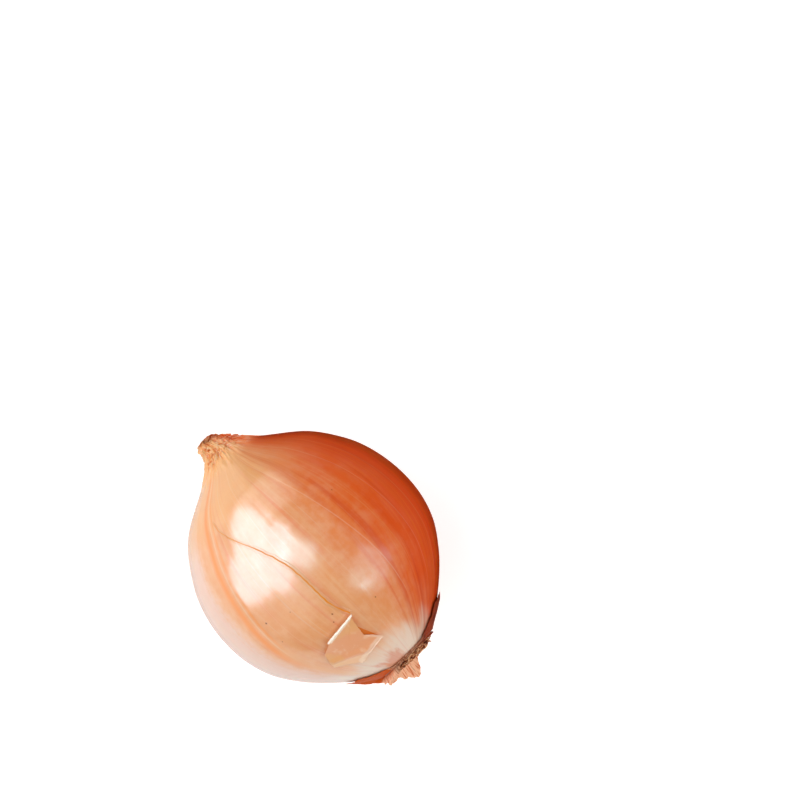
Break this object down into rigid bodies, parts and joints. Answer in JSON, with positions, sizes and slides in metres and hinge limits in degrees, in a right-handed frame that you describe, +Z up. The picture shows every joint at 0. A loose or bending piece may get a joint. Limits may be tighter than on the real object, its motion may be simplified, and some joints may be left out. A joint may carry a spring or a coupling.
{
  "type": "onion",
  "caption": "Whole yellow onion lying on its side, with a papery skin, a pinched dry neck, a mat of dry roots and a lifted flap of skin.",
  "frame": {"origin": "centre of the bounding box, on the surface that the onion lies on", "axes": "+X along the onion's axis from the roots to the neck, +Z up from the flat spot that it rests on"},
  "size_m": [0.105, 0.0798, 0.0795],
  "materials": {
    "onion_skin": "satin, translucent papery skin",
    "dry_scale": "dry, thin and papery",
    "dry_root": "matte and fibrous"
  },
  "bodies": {
    "root": {"bulb": "onion_skin", "root_plate": "dry_root", "skin_collar": "dry_scale", "skin_flap": "dry_scale"}
  },
  "joints": []
}
